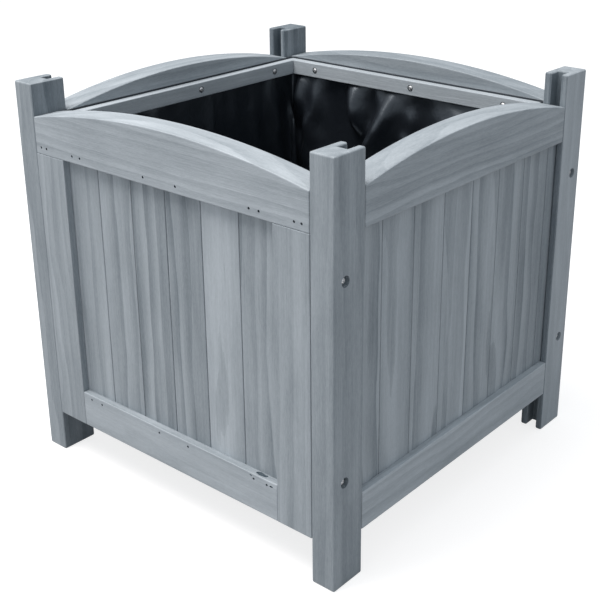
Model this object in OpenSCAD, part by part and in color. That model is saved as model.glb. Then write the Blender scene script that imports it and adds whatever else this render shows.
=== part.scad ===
/* [Box] */
// Width and depth over the posts
box_w = 500; // [460:5:560]
// Height of the posts
post_h = 500; // [470:5:540]

/* [Posts] */
// Thickness of a post, across the front
post_w = 32; // [30:1:38]
// Depth of a post, from front to back
post_d = 49; // [46:1:56]
// Depth of the groove down each post
post_groove_d = 18; // [12:1:22]
// Ease on the long edges of a post
post_ease = 1.5; // [0.5:0.5:3]

/* [Walls] */
// Thickness of the rails and stiles
rail_t = 36; // [34:1:40]
// Gap between the ground and the walls
foot_h = 57; // [40:1:80]
// Height of a bottom rail
bottom_rail_h = 48; // [40:1:60]
// Width of a stile
stile_w = 50; // [40:1:60]
// Underside of the arched rails
arch_z = 415; // [395:1:420]
// Height of an arched rail at its ends
arch_end_h = 45; // [40:1:50]
// Rise of the arch in the middle
arch_rise = 22.5; // [10:0.5:35]

/* [Boards] */
// Width that one board covers
board_pitch = 57; // [54:0.5:58]
// Thickness of a board
board_t = 13.6; // [12:0.1:13.8]
// Width of the grooves that hold boards and tongues
groove_w = 14; // [14:0.5:15]
// Depth of the grooves in rails and stiles
groove_d = 15; // [14:0.5:17]
// Open gap between the faces of two boards
board_gap = 0.8; // [0.4:0.1:1.5]

/* [Battens and floor] */
// Height of a batten that clamps the liner
batten_h = 20.5; // [18:0.5:26]
// Thickness of a batten
batten_t = 12; // [10:1:15]
// Drop from the ends of the arched rails to the battens
batten_drop = 2; // [2:1:6]
// Width of a floor slat
slat_w = 74; // [50:1:78]
// Thickness of a floor slat
slat_t = 12; // [10:1:14]
// Depth of a floor cleat, from the rail inwards
cleat_d = 20; // [18:1:30]
// Height of a floor cleat
cleat_h = 18; // [16:1:20]

/* [Liner] */
// Thickness of the film, with room for its folds
liner_t = 0.6; // [0.4:0.1:0.6]
// How far the film stands above the battens
liner_rise = 2; // [0:0.5:2]
// Diameter of a drain hole in the liner
drain_d = 10; // [6:1:14]

/* [Fasteners] */
// Height of the post screws above and below the middle of a post
post_screw_rise = 117; // [90:1:130]
// Diameter of a post screw
post_screw_d = 5; // [4:0.5:6]
// Length of a post screw
post_screw_l = 58; // [50:1:60]
// Diameter of a post screw's head
post_head_d = 10; // [8:0.5:10]
// Depth to which a post screw's head is sunk
post_sink = 6; // [4:0.5:8]
// Diameter of a batten, cleat or slat screw
small_screw_d = 3.5; // [3:0.5:4]
// Length of a batten, cleat or slat screw
small_screw_l = 28; // [25:1:28]
// Diameter of a pin nail
nail_d = 1.6; // [1.2:0.1:2]
// Length of a pin nail
nail_l = 22; // [18:1:26]

/* [Hidden] */
$fn = 48;

stain = "slategray";
half = box_w / 2;
post_in_x = half - post_w;
post_in_y = half - post_d;
// The groove of the posts and of the walls runs down one shared line
groove_y = -half + post_w / 2;
wall_in = half - rail_t;
fit_gap = 0.2;
tongue_t = groove_w - 2 * fit_gap;
cut = 1;

// Heights of the walls
rail_top = foot_h + bottom_rail_h;
board_z0 = rail_top - groove_d + fit_gap;
board_z1 = arch_z + groove_d - fit_gap;
stile_in = post_in_x - stile_w;

// Boards: a tongue on the right edge, a groove in the left edge
edge_t = 4.4;
edge_l = 5;
edge_gap = 0.3;
front_boards = 6;
side_boards = 8;
front_first = -3 * board_pitch - 2.5;
side_first = -post_in_y - post_groove_d + 2;
side_last = post_in_y + post_groove_d - 0.5;

// Floor
floor_gap = 0.3;
cleat_z = rail_top - 35;
slat_z = cleat_z + cleat_h;
slat_count = 5;
slat_l = 2 * (wall_in - 1);
slat_step = (slat_l - slat_w) / (slat_count - 1);
liner_z = slat_z + slat_t + floor_gap;
liner_half = wall_in - 0.1;
batten_top = arch_z + arch_end_h - batten_drop;
liner_top = batten_top + liner_rise;
batten_face = liner_half - liner_t - 0.1;

// Screws
post_bore_d = post_screw_d + 0.4;
post_recess_d = post_head_d + 2;
post_screw_y = -half + rail_t / 2;
small_bore_d = small_screw_d + 0.3;
small_head_d = 2 * small_screw_d;
small_head_h = 2.2;
batten_screw_z = batten_top - batten_h / 2;
batten_screw_x = [-160, -12, 160];
cleat_screw_x = [-130, 0, 130];
slat_screw_x = 22;
slat_screw_y = wall_in - cleat_d / 2;

// Pin nails: across the wall, in pairs at the joints
nail_sink = 0.8;
arch_nail_z = arch_z + 8.5;
rail_nail_z = rail_top - 6.5;
arch_nail_x = [for (x = [26, 136, 150, 198, 208], s = [-1, 1]) s * x];
rail_nail_x = [for (x = [25, 132, 152], s = [-1, 1]) s * x];

// Outline of a bar with its four long edges eased
module eased_bar(w, d, ease) {
    polygon([
        [ease, 0], [w - ease, 0], [w, ease], [w, d - ease],
        [w - ease, d], [ease, d], [0, d - ease], [0, ease]
    ]);
}

// A block from its lowest corner to its highest corner
module block(low, high) {
    translate(low) cube(high - low);
}

// The groove that holds boards and tongues, in a wall's rails and stiles
module groove(low_x, high_x, low_z, high_z) {
    block([low_x, groove_y - groove_w / 2, low_z], [high_x, groove_y + groove_w / 2, high_z]);
}

// The tongue that fits such a groove
module tongue(low_x, high_x, low_z, high_z) {
    block([low_x, groove_y - tongue_t / 2, low_z], [high_x, groove_y + tongue_t / 2, high_z]);
}

// Holes for the pin nails of a front or back wall
module nail_bores() {
    for (x = arch_nail_x)
        translate([x, -half - cut, arch_nail_z]) rotate([-90, 0, 0]) nail_bore();
    for (x = rail_nail_x)
        translate([x, -half - cut, rail_nail_z]) rotate([-90, 0, 0]) nail_bore();
}

module nail_bore() {
    cylinder(d = nail_d, h = cut + nail_sink + nail_l, $fn = 16);
}

// Post of the front right corner. The other three are this one turned or mirrored.
module post() {
    color(stain) difference() {
        translate([post_in_x, -half, 0])
            linear_extrude(post_h) eased_bar(post_w, post_d, post_ease);
        translate([half - post_w / 2 - groove_w / 2, -post_in_y - post_groove_d, -cut])
            cube([groove_w, post_groove_d + cut, post_h + 2 * cut]);
        for (s = [-1, 1]) post_screw_place(s) {
            cylinder(d = post_bore_d, h = post_w + 2 * cut);
            translate([0, 0, -cut]) cylinder(d = post_recess_d, h = post_sink + cut);
        }
    }
}

// Stands at the outer side of the front right post, looking inwards
module post_screw_place(s) {
    translate([half, post_screw_y, post_h / 2 + s * post_screw_rise])
        rotate([0, -90, 0]) children();
}

// Outline of an arched rail, in x and z
module arch_outline(half_l) {
    radius = (half_l * half_l + arch_rise * arch_rise) / (2 * arch_rise);
    top = arch_z + arch_end_h + arch_rise;
    intersection() {
        translate([-half_l, arch_z]) square([2 * half_l, arch_end_h + arch_rise]);
        translate([0, top - radius]) circle(r = radius, $fn = 360);
    }
}

module arch_bar(half_l) {
    translate([0, -wall_in, 0]) rotate([90, 0, 0])
        linear_extrude(rail_t) arch_outline(half_l);
}

// Arched rail of the front wall, over the stiles and between the posts
module front_arch_rail() {
    color(stain) difference() {
        arch_bar(post_in_x);
        groove(-post_in_x - cut, post_in_x + cut, arch_z - cut, arch_z + groove_d);
        nail_bores();
        batten_screw_bores();
    }
}

// Arched rail of a side wall, let into the grooves of the posts
module side_arch_rail() {
    end = post_in_y + post_groove_d - fit_gap;
    color(stain) difference() {
        union() {
            arch_bar(post_in_y);
            tongue(-end, end, arch_z, arch_z + arch_end_h - 5);
        }
        groove(-end - cut, end + cut, arch_z - cut, arch_z + groove_d);
        batten_screw_bores();
    }
}

// Bottom rail. body_x is half its length, end_x half its length with the tongues.
module bottom_rail(body_x, end_x) {
    difference() {
        union() {
            block([-body_x, -half, foot_h], [body_x, -wall_in, rail_top]);
            tongue(-end_x, end_x, foot_h + 4, rail_top);
        }
        groove(-end_x - cut, end_x + cut, rail_top - groove_d, rail_top + cut);
    }
}

module front_bottom_rail() {
    color(stain) difference() {
        bottom_rail(stile_in, stile_in + groove_d - fit_gap);
        nail_bores();
        cleat_screw_bores();
    }
}

module side_bottom_rail() {
    color(stain) bottom_rail(post_in_y, post_in_y + post_groove_d - fit_gap);
}

// Right stile of the front wall
module stile() {
    color(stain) difference() {
        union() {
            block([stile_in, -half, foot_h], [post_in_x, -wall_in, arch_z]);
            tongue(stile_in, post_in_x, arch_z, board_z1);
        }
        groove(stile_in - cut, stile_in + groove_d, foot_h - cut, board_z1 + cut);
        for (s = [-1, 1])
            post_screw_place(s) cylinder(d = post_screw_d, h = post_sink + post_screw_l + 1);
        nail_bores();
    }
}

// Cross-section of a wall board that covers low to high, seen from above
module board_outline(low, high, left_groove, right_tongue) {
    difference() {
        union() {
            translate([low + board_gap / 2, -board_t / 2]) square([high - low - board_gap, board_t]);
            if (right_tongue)
                translate([high - board_gap, -edge_t / 2]) square([edge_l, edge_t]);
        }
        if (left_groove)
            translate([low - cut, -edge_t / 2 - edge_gap])
                square([cut + edge_l + 0.5, edge_t + 2 * edge_gap]);
    }
}

// Board number i of a wall, counted from its left as seen from outside
module board(i, first, last_edge, count) {
    low = first + i * board_pitch;
    high = min(low + board_pitch, last_edge);
    translate([0, groove_y, board_z0]) linear_extrude(board_z1 - board_z0)
        board_outline(low, high, i > 0, i < count - 1);
}

module front_board(i) {
    color(stain) difference() {
        board(i, front_first, half, front_boards);
        nail_bores();
    }
}

module side_board(i) {
    color(stain) board(i, side_first, side_last, side_boards);
}

// A wood screw with its head sunk flush, pointing up from its head
module small_screw() {
    tip_h = 3;
    cylinder(d1 = small_head_d, d2 = small_screw_d, h = small_head_h);
    cylinder(d = small_screw_d, h = small_screw_l - tip_h);
    translate([0, 0, small_screw_l - tip_h]) cylinder(d1 = small_screw_d, d2 = 0.6, h = tip_h);
}

// The hole for it: a countersink and a pilot
module small_screw_bore() {
    translate([0, 0, -cut]) cylinder(d = small_head_d + 0.4, h = cut);
    cylinder(d1 = small_head_d + 0.4, d2 = small_bore_d, h = small_head_h);
    cylinder(d = small_bore_d, h = small_screw_l + 0.5);
}

module batten_screw_places() {
    for (x = batten_screw_x)
        translate([x, -batten_face + batten_t, batten_screw_z]) rotate([90, 0, 0]) children();
}

module batten_screw_bores() {
    batten_screw_places() small_screw_bore();
}

module cleat_screw_places() {
    for (x = cleat_screw_x)
        translate([x, -wall_in + cleat_d, cleat_z + cleat_h / 2]) rotate([90, 0, 0]) children();
}

module cleat_screw_bores() {
    cleat_screw_places() small_screw_bore();
}

// Screws of the front end of floor slat i
module slat_screw_places(i) {
    for (s = [-1, 1])
        translate([slat_x(i) + s * slat_screw_x, -slat_screw_y, slat_z + slat_t])
            rotate([180, 0, 0]) children();
}

function slat_x(i) = -slat_l / 2 + slat_w / 2 + i * slat_step;

// A batten across a wall. Those of the front and back fill the width of the liner.
module batten(half_l) {
    color(stain) difference() {
        block([-half_l, -batten_face, batten_top - batten_h],
              [half_l, -batten_face + batten_t, batten_top]);
        batten_screw_bores();
    }
}

module floor_cleat() {
    color(stain) difference() {
        block([-wall_in + 1, -wall_in, cleat_z], [wall_in - 1, -wall_in + cleat_d, slat_z]);
        cleat_screw_bores();
        for (i = [0:slat_count - 1]) slat_screw_places(i) small_screw_bore();
    }
}

module floor_slat(i) {
    color(stain) difference() {
        block([slat_x(i) - slat_w / 2, -slat_l / 2, slat_z],
              [slat_x(i) + slat_w / 2, slat_l / 2, slat_z + slat_t]);
        for (turn = [0, 180])
            rotate([0, 0, turn])
                slat_screw_places(turn == 0 ? i : slat_count - 1 - i) small_screw_bore();
    }
}

// Film bag: four walls to just above the battens, and a bottom with drain holes
module liner() {
    inside = liner_half - liner_t;
    color("black") difference() {
        block([-liner_half, -liner_half, liner_z], [liner_half, liner_half, liner_top]);
        block([-inside, -inside, liner_z + liner_t], [inside, inside, liner_top + cut]);
        for (x = [-110, 0, 110], y = [-110, 0, 110])
            translate([x, y, liner_z - cut]) cylinder(d = drain_d, h = liner_t + 2 * cut);
        for (turn = [0:90:270]) rotate([0, 0, turn]) batten_screw_bores();
    }
}

// Post screw: a low domed head with a cross recess, and a shank into the stile
module post_screw() {
    head_h = 3;
    slot_w = 1.6;
    tip_h = 4;
    translate([0, 0, post_sink - head_h]) difference() {
        union() {
            intersection() {
                translate([0, 0, post_head_d]) sphere(r = post_head_d);
                cylinder(d = post_head_d, h = head_h);
            }
            translate([0, 0, head_h]) {
                cylinder(d = post_screw_d, h = post_screw_l - tip_h);
                translate([0, 0, post_screw_l - tip_h])
                    cylinder(d1 = post_screw_d, d2 = 1, h = tip_h);
            }
        }
        for (turn = [0, 90])
            rotate([0, 0, turn])
                translate([-post_head_d / 4, -slot_w / 2, -cut])
                    cube([post_head_d / 2, slot_w, cut + 1.8]);
    }
}

module post_screws() {
    color("silver") both_ends() for (side = [0, 1], s = [-1, 1])
        mirror([side, 0, 0]) post_screw_place(s) post_screw();
}

// Draws its children at the front of the box, and again turned to the back
module both_ends() {
    for (turn = [0, 180]) rotate([0, 0, turn]) children();
}

module batten_screws() {
    color("silver") for (turn = [0:90:270]) rotate([0, 0, turn])
        batten_screw_places() small_screw();
}

module floor_screws() {
    color("silver") both_ends() {
        cleat_screw_places() small_screw();
        for (i = [0:slat_count - 1]) slat_screw_places(i) small_screw();
    }
}

module rail_nail() {
    translate([0, 0, nail_sink]) cylinder(d = nail_d - 0.1, h = nail_l - 0.2, $fn = 16);
}

module rail_nails() {
    color("dimgray") both_ends() {
        for (x = arch_nail_x)
            translate([x, -half, arch_nail_z]) rotate([-90, 0, 0]) rail_nail();
        for (x = rail_nail_x)
            translate([x, -half, rail_nail_z]) rotate([-90, 0, 0]) rail_nail();
    }
}

// Turns a front piece to the right, back or left side
module to_right() { rotate([0, 0, 90]) children(); }
module to_back() { rotate([0, 0, 180]) children(); }
module to_left() { rotate([0, 0, 270]) children(); }

post();  // post_front_right
mirror([1, 0, 0]) post();  // post_front_left
to_back() post();  // post_back_left
to_back() mirror([1, 0, 0]) post();  // post_back_right
front_arch_rail();  // arch_rail_front
to_back() front_arch_rail();  // arch_rail_back
to_right() side_arch_rail();  // arch_rail_right
to_left() side_arch_rail();  // arch_rail_left
front_bottom_rail();  // bottom_rail_front
to_back() front_bottom_rail();  // bottom_rail_back
to_right() side_bottom_rail();  // bottom_rail_right
to_left() side_bottom_rail();  // bottom_rail_left
stile();  // stile_front_right
mirror([1, 0, 0]) stile();  // stile_front_left
to_back() stile();  // stile_back_left
to_back() mirror([1, 0, 0]) stile();  // stile_back_right
for (i = [1:front_boards]) {
    front_board(i - 1);
    to_back() front_board(i - 1);
}
for (i = [1:side_boards]) {
    to_right() side_board(i - 1);
    to_left() side_board(i - 1);
}
batten(liner_half - liner_t - 0.1);  // batten_front
to_back() batten(liner_half - liner_t - 0.1);  // batten_back
to_right() batten(batten_face - batten_t);  // batten_right
to_left() batten(batten_face - batten_t);  // batten_left
floor_cleat();  // floor_cleat_front
to_back() floor_cleat();  // floor_cleat_back
for (i = [1:slat_count]) {
    floor_slat(i - 1);
}
liner();
post_screws();
batten_screws();
floor_screws();
rail_nails();
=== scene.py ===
import bmesh
import bpy
import math
import random
from functools import partial
from mathutils import Matrix, Vector


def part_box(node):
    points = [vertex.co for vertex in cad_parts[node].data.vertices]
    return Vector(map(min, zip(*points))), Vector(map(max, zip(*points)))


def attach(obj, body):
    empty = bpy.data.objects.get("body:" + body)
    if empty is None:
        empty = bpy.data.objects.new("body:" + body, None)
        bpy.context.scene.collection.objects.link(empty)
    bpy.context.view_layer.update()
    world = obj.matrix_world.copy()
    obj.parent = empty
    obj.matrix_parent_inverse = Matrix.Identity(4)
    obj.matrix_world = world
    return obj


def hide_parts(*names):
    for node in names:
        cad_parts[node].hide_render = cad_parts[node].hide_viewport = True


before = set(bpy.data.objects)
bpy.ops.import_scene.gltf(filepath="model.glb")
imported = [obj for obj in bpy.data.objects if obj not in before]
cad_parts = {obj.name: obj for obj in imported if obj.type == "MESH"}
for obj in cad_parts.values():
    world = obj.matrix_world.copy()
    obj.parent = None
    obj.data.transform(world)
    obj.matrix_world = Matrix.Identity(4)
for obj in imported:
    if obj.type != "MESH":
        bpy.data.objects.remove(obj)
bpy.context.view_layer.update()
print("frame loaded,", len(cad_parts), "nodes")


# all sizes are in metres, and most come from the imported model
def readSizes():
    postLow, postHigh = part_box("post_front_right")
    archLow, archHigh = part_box("arch_rail_front")
    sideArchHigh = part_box("arch_rail_right")[1]
    railLow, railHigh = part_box("bottom_rail_front")
    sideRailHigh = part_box("bottom_rail_right")[1]
    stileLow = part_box("stile_front_right")[0]
    boardLow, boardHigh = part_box("board_front_3")
    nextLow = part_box("board_front_4")[0]
    linerLow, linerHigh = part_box("liner")
    battenLow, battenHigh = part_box("batten_front")
    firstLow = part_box("board_front_1")[0]
    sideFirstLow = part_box("board_right_1")[0]
    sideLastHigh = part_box("board_right_8")[1]
    return {
        "half": postHigh.x, "postTop": postHigh.z, "postInX": postLow.x, "postInY": -postHigh.y,
        "wallIn": -archHigh.y, "archFoot": archLow.z, "crown": archHigh.z, "tongueEnd": sideArchHigh.y,
        "railFoot": railLow.z, "railTop": railHigh.z, "railEnd": railHigh.x,
        "sideRailEnd": sideRailHigh.y, "stileIn": stileLow.x,
        "boardFoot": boardLow.z, "boardTop": boardHigh.z, "boardThick": boardHigh.y - boardLow.y,
        "boardLine": (boardHigh.y + boardLow.y) / 2, "pitch": nextLow.x - boardLow.x,
        "frontFirst": firstLow.x, "sideFirst": sideFirstLow.y, "sideLast": sideLastHigh.y,
        "battenFoot": battenLow.z, "battenTop": battenHigh.z, "battenFace": battenHigh.y,
        "filmOut": linerHigh.x, "filmFoot": linerLow.z, "filmTop": linerHigh.z,
    }


size = readSizes()
grooveWidth = 0.014
grooveDepth = 0.015
past = 0.01  # how far a cutter stands out of the wood
walls = (("front", 0), ("right", 90), ("back", 180), ("left", 270))
acrossWay = {"front": "x", "back": "x", "right": "y", "left": "y"}


def turned(degrees):
    return Matrix.Rotation(math.radians(degrees), 4, "Z")


def newPiece(name, form):
    bmesh.ops.remove_doubles(form, verts=form.verts, dist=1e-6)
    bmesh.ops.recalc_face_normals(form, faces=form.faces)
    mesh = bpy.data.meshes.new(name)
    form.to_mesh(mesh)
    form.free()
    piece = bpy.data.objects.new(name, mesh)
    bpy.context.scene.collection.objects.link(piece)
    return piece


def addBlock(form, low, high):
    low, high = Vector(low), Vector(high)
    place = Matrix.Translation((low + high) / 2) @ Matrix.Diagonal((*(high - low), 1))
    bmesh.ops.create_cube(form, size=1, matrix=place)


def block(name, low, high):
    form = bmesh.new()
    addBlock(form, low, high)
    return newPiece(name, form)


def extruded(name, outline, low, high):  # a closed outline in x and y, drawn up from low to high
    form = bmesh.new()
    foot = [form.verts.new((x, y, low)) for x, y in outline]
    top = [form.verts.new((x, y, high)) for x, y in outline]
    form.faces.new(foot)
    form.faces.new(top)
    for i in range(len(outline)):
        j = (i + 1) % len(outline)
        form.faces.new((foot[i], foot[j], top[j], top[i]))
    return newPiece(name, form)


def flatPiece(name, corners):  # one flat face
    form = bmesh.new()
    form.faces.new([form.verts.new(corner) for corner in corners])
    return newPiece(name, form)


def removeObject(item):
    bpy.data.objects.remove(item)


def applied(piece):  # the evaluated mesh takes the place of the mesh and its modifiers
    graph = bpy.context.evaluated_depsgraph_get()
    mesh = bpy.data.meshes.new_from_object(
        piece.evaluated_get(graph), preserve_all_data_layers=True, depsgraph=graph)
    mesh.name = piece.name
    piece.modifiers.clear()
    piece.data = mesh
    return piece


def outward(piece):  # all faces of a closed shape look outwards
    form = bmesh.new()
    form.from_mesh(piece.data)
    bmesh.ops.recalc_face_normals(form, faces=form.faces)
    form.to_mesh(piece.data)
    form.free()
    return piece


def combine(piece, operation, *tools):
    for tool in tools:
        step = piece.modifiers.new(tool.name, "BOOLEAN")
        step.operation = operation
        step.solver = "EXACT"
        step.object = tool
    applied(piece)
    for tool in tools:
        removeObject(tool)
    return piece


def easeEdges(piece, width, segments=3):
    ease = piece.modifiers.new("ease", "BEVEL")
    ease.width = width
    ease.segments = segments
    ease.limit_method = "ANGLE"
    ease.angle_limit = math.radians(35)
    return applied(piece)


def smoothShade(piece, limit=38):
    mesh = piece.data
    mesh.polygons.foreach_set("use_smooth", [True] * len(mesh.polygons))
    mesh.set_sharp_from_angle(angle=math.radians(limit))
    weighted = piece.modifiers.new("weighted", "WEIGHTED_NORMAL")
    weighted.keep_sharp = True
    return applied(piece)


def storeGrain(mesh, along, shift=(0, 0, 0)):
    # x of the attribute runs along the fibres, y and z across them
    order = {"x": (0, 1, 2), "y": (1, 0, 2), "z": (2, 0, 1)}[along]
    places = [vertex.co[order[k]] + shift[k] for vertex in mesh.vertices for k in range(3)]
    mesh.attributes.new("grain", "FLOAT_VECTOR", "POINT").data.foreach_set("vector", places)


def storeTone(mesh, tone, soaked):  # darkening says how much darker a face is, from its centre and normal; in holes and recesses, on the arch and rail tops and on undersides it is painted shade
    values = [tone - soaked(face.center, face.normal) for face in mesh.polygons]
    mesh.attributes.new("tone", "FLOAT", "FACE").data.foreach_set("value", values)


def finish(piece, nodes, material):  # one material slot, which every face uses
    piece.data.materials.clear()
    piece.data.materials.append(material)
    piece.data.polygons.foreach_set("material_index", [0] * len(piece.data.polygons))
    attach(piece, "root")
    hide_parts(*nodes)
    return piece


def feed(tree, sockets, values):  # a socket is linked, and anything else is a fixed value
    for key, value in values.items():
        if isinstance(value, bpy.types.NodeSocket):
            tree.links.new(value, sockets[key])
        else:
            sockets[key].default_value = value


def addNode(tree, kind, inputs=None, **settings):
    made = tree.nodes.new(kind)
    for name, value in settings.items():
        setattr(made, name, value)
    feed(tree, made.inputs, inputs or {})
    return made


def calc(tree, operation, *values):
    return addNode(tree, "ShaderNodeMath", dict(enumerate(values)), operation=operation).outputs[0]


def arithmetic(tree):  # the tree's Math nodes as plain functions
    return [partial(calc, tree, name)
            for name in ("ADD", "SUBTRACT", "MULTIPLY", "MULTIPLY_ADD", "DIVIDE", "SQRT")]


def newTree(name, kind, inputs, outputs):
    tree = bpy.data.node_groups.new(name, kind)
    for direction, sockets in (("INPUT", inputs), ("OUTPUT", outputs)):
        for label, socketType in sockets:
            tree.interface.new_socket(label, in_out=direction, socket_type="NodeSocket" + socketType)
    return tree, tree.nodes.new("NodeGroupInput").outputs, tree.nodes.new("NodeGroupOutput").inputs


def runNodes(piece, tree, values):  # the tree's inputs are set by their identifiers, then it is applied
    step = piece.modifiers.new(tree.name, "NODES")
    step.node_group = tree
    for item in tree.interface.items_tree:
        if item.in_out == "INPUT" and item.name in values:
            step[item.identifier] = values[item.name]
    return applied(piece)


def stainedGrainGroup():
    tree, given, put = newTree("stainedGrain", "ShaderNodeTree", (
        ("Place", "Vector"), ("Tone", "Float"), ("Light", "Color"), ("Dark", "Color"),
        ("Ring Width", "Float"), ("Ring Depth", "Float"), ("Streak", "Float")),
        (("Color", "Color"), ("Roughness", "Float"), ("Height", "Float")))
    add, subtract, multiply, multiplyAdd, divide, root = arithmetic(tree)

    def stretched(scale):  # scale says how fine the pattern is along and across the fibres
        return addNode(tree, "ShaderNodeVectorMath", {0: given["Place"], 1: scale},
                       operation="MULTIPLY").outputs[0]

    def noise(along, across, detail=3.0, rough=0.55):  # about zero
        made = addNode(tree, "ShaderNodeTexNoise", {
            "Vector": stretched((along, across, across)), "Scale": 1.0, "Detail": detail, "Roughness": rough})
        return subtract(made.outputs["Fac"], 0.5)

    bend = multiply(noise(2.4, 11, 2), 54)  # in millimetres, as the rings are
    ripple = multiply(noise(8, 90), 5.0)
    parts = addNode(tree, "ShaderNodeSeparateXYZ", {0: stretched((1000, 1000, 1000))}).outputs
    across = add(parts[1], bend)
    depth = add(multiplyAdd(bend, 0.6, parts[2]), multiply(parts[0], 0.012))
    radius = root(add(multiply(across, across), multiply(depth, depth)))
    rings = divide(add(radius, ripple), given["Ring Width"])
    phase, number = calc(tree, "FRACT", rings), calc(tree, "FLOOR", rings)
    chance = addNode(tree, "ShaderNodeTexWhiteNoise", {"W": number}, noise_dimensions="1D").outputs["Value"]
    # late wood darkens slowly towards the outer edge of a ring, then stops sharply
    rise, fall = (addNode(tree, "ShaderNodeMapRange", {"Value": phase, "From Min": low, "From Max": high},
                          interpolation_type="SMOOTHSTEP").outputs[0]
                  for low, high in ((0.1, 0.95), (1.0, 0.93)))
    late = multiply(multiply(rise, fall), multiplyAdd(chance, 0.9, 0.1))
    streak = noise(5, 240)
    fibre = noise(26, 1300, 3, 0.65)
    light = multiplyAdd(given["Tone"], 0.26, 0.64)
    for pattern, strength in (
            (streak, given["Streak"]), (noise(2.5, 55, 2), 0.5), (fibre, 0.45),
            (noise(150, 900, 2, 0.7), 0.45), (noise(9, 28), 0.5), (subtract(chance, 0.5), 0.24)):
        light = multiplyAdd(pattern, strength, light)
    light = subtract(light, multiply(late, given["Ring Depth"]))
    light = calc(tree, "MINIMUM", calc(tree, "MAXIMUM", light, -0.40), 1.2)
    colour = addNode(tree, "ShaderNodeMix", {"Factor": light, 6: given["Dark"], 7: given["Light"]},
                     data_type="RGBA", clamp_factor=False)
    feed(tree, put, {
        "Color": colour.outputs[2], "Roughness": multiplyAdd(fibre, 0.25, multiplyAdd(late, 0.06, 0.62)),
        "Height": add(multiply(fibre, 0.9), multiplyAdd(streak, 0.9, multiply(late, 0.22)))})
    return tree


def scratchGroup():  # dull spots on metal, from one wide noise
    tree, given, put = newTree(
        "scratches", "ShaderNodeTree", (("Place", "Vector"), ("Scale", "Float")), (("Mask", "Float"),))
    wide = addNode(tree, "ShaderNodeTexNoise", {
        "Vector": given["Place"], "Scale": given["Scale"], "Detail": 4.0, "Roughness": 0.7})
    feed(tree, put, {"Mask": wide.outputs["Fac"]})
    return tree


stainedGrain = stainedGrainGroup()
scratches = scratchGroup()


timber = {"light": (0.440, 0.488, 0.528, 1), "dark": (0.150, 0.180, 0.205, 1), "relief": 0.0005}


def newMaterial(name):
    material = bpy.data.materials.new(name)
    material.use_nodes = True
    shader = material.node_tree.nodes["Principled BSDF"]
    return material, material.node_tree, shader


def timberMaterial(name, ringWidth, ringDepth, streak, bump):
    material, tree, shader = newMaterial(name)
    place = addNode(tree, "ShaderNodeAttribute", attribute_name="grain").outputs["Vector"]
    tone = addNode(tree, "ShaderNodeAttribute", attribute_name="tone").outputs["Fac"]
    grain = addNode(tree, "ShaderNodeGroup", {
        "Place": place, "Tone": tone, "Light": timber["light"], "Dark": timber["dark"],
        "Ring Width": ringWidth, "Ring Depth": ringDepth, "Streak": streak}, node_tree=stainedGrain).outputs
    relief = addNode(tree, "ShaderNodeBump", {"Height": grain["Height"], "Strength": bump,
                                              "Distance": timber["relief"]})
    feed(tree, shader.inputs, {
        "Base Color": grain["Color"], "Roughness": grain["Roughness"], "Normal": relief.outputs[0],
        "IOR": 1.45})
    return material


def metalMaterial(name, light, dark, roughLow, roughHigh, scale):
    material, tree, shader = newMaterial(name)
    place = addNode(tree, "ShaderNodeTexCoord").outputs["Object"]
    worn = addNode(tree, "ShaderNodeGroup", {"Place": place, "Scale": scale}, node_tree=scratches)
    mask = worn.outputs["Mask"]
    colour = addNode(tree, "ShaderNodeMix", {"Factor": mask, 6: dark, 7: light}, data_type="RGBA")
    rough = addNode(tree, "ShaderNodeMapRange", {"Value": mask, "To Min": roughLow, "To Max": roughHigh})
    feed(tree, shader.inputs, {
        "Base Color": colour.outputs[2], "Roughness": rough.outputs[0], "Metallic": 1.0})
    return material


filmLook = {"deep": (0.0062, 0.0082, 0.0120, 1), "dusty": (0.0115, 0.0145, 0.0190, 1),
            "tint": (0.80, 0.90, 1.0, 1), "roughness": (0.27, 0.42), "cutEdge": 0.0015}


def filmMaterial():
    material, tree, shader = newMaterial("linerFilm")
    place = addNode(tree, "ShaderNodeTexCoord").outputs["Object"]
    crinkle = addNode(tree, "ShaderNodeTexNoise", {
        "Vector": place, "Scale": 34.0, "Detail": 3.0, "Roughness": 0.55, "Distortion": 0.8}).outputs["Fac"]
    dust = addNode(tree, "ShaderNodeTexNoise", {"Vector": place, "Scale": 9.0, "Detail": 4.0}).outputs["Fac"]
    colour = addNode(tree, "ShaderNodeMix", {"Factor": dust, 6: filmLook["deep"], 7: filmLook["dusty"]},
                     data_type="RGBA")
    low, high = filmLook["roughness"]
    rough = addNode(tree, "ShaderNodeMapRange", {"Value": dust, "To Min": low, "To Max": high})
    relief = addNode(tree, "ShaderNodeBump", {"Height": crinkle, "Strength": 0.25, "Distance": 0.004})
    height = addNode(tree, "ShaderNodeSeparateXYZ", {0: place}).outputs[2]
    cut = addNode(tree, "ShaderNodeMapRange", {
        "Value": height, "From Min": size["battenTop"] - filmLook["cutEdge"], "From Max": size["battenTop"]})
    dull = calc(tree, "MAXIMUM", rough.outputs[0], cut.outputs[0])  # the edge above the battens is dull
    feed(tree, shader.inputs, {
        "Base Color": colour.outputs[2], "Roughness": dull, "Normal": relief.outputs[0],
        "Specular IOR Level": 1.0, "Specular Tint": filmLook["tint"]})
    return material


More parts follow.
